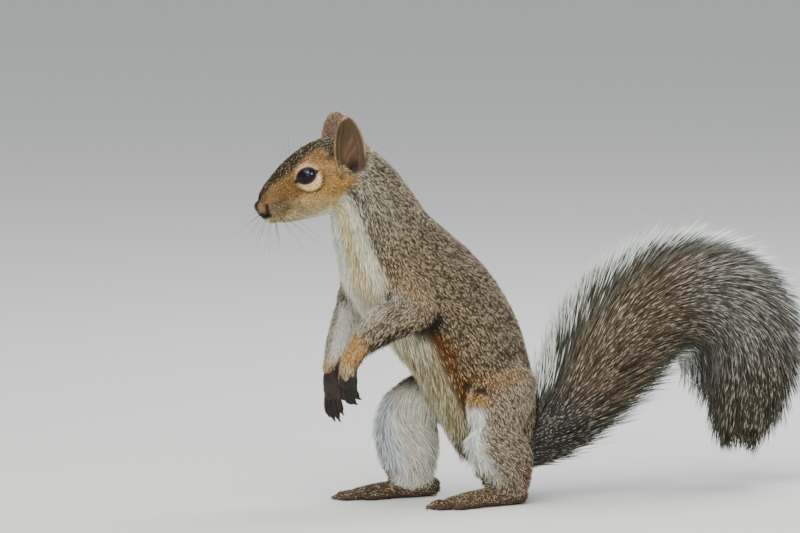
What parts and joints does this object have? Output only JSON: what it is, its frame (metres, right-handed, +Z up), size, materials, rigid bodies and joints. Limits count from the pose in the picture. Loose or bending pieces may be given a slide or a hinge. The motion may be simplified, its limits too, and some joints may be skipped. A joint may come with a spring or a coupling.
{
  "type": "eastern grey squirrel, life-size still model",
  "caption": "Life-size grey squirrel standing up on its hind legs, forepaws hanging in front and the bushy tail arched behind.",
  "frame": {"origin": "middle of the bounding box at floor level, under the lower back", "axes": "+Z up; the animal faces -Y and its left side is +X, so its tail is towards +Y"},
  "size_m": [0.0833, 0.3282, 0.2165],
  "materials": {
    "head_fur": "short dense fur, rust brown, matt",
    "back_fur": "grizzled grey-brown fur, matt",
    "flank_fur": "grizzled tan fur, matt",
    "pale_fur": "cream-white fur, matt",
    "tail_fur": "long banded hair with white tips, matt",
    "ear_skin": "thin skin with down, satin",
    "paw_skin": "dark bare skin and short hair, satin",
    "eye_gloss": "wet black eye, gloss"
  },
  "bodies": {
    "root": {"head": "head_fur", "jaw": "pale_fur", "neck": "back_fur", "chest": "back_fur", "belly": "flank_fur", "hips": "back_fur", "ear_left": "ear_skin", "eye_left": "eye_gloss", "upper_arm_left": "back_fur", "forearm_left": "flank_fur", "hand_left": "paw_skin", "thigh_left": "flank_fur", "shank_left": "pale_fur", "foot_left": "paw_skin", "ear_right": "ear_skin", "eye_right": "eye_gloss", "upper_arm_right": "back_fur", "forearm_right": "flank_fur", "hand_right": "paw_skin", "thigh_right": "flank_fur", "shank_right": "pale_fur", "foot_right": "paw_skin", "tail_root": "tail_fur", "tail_lower": "tail_fur", "tail_rise": "tail_fur", "tail_arch": "tail_fur", "tail_drop": "tail_fur", "tail_tip": "tail_fur"}
  },
  "joints": []
}
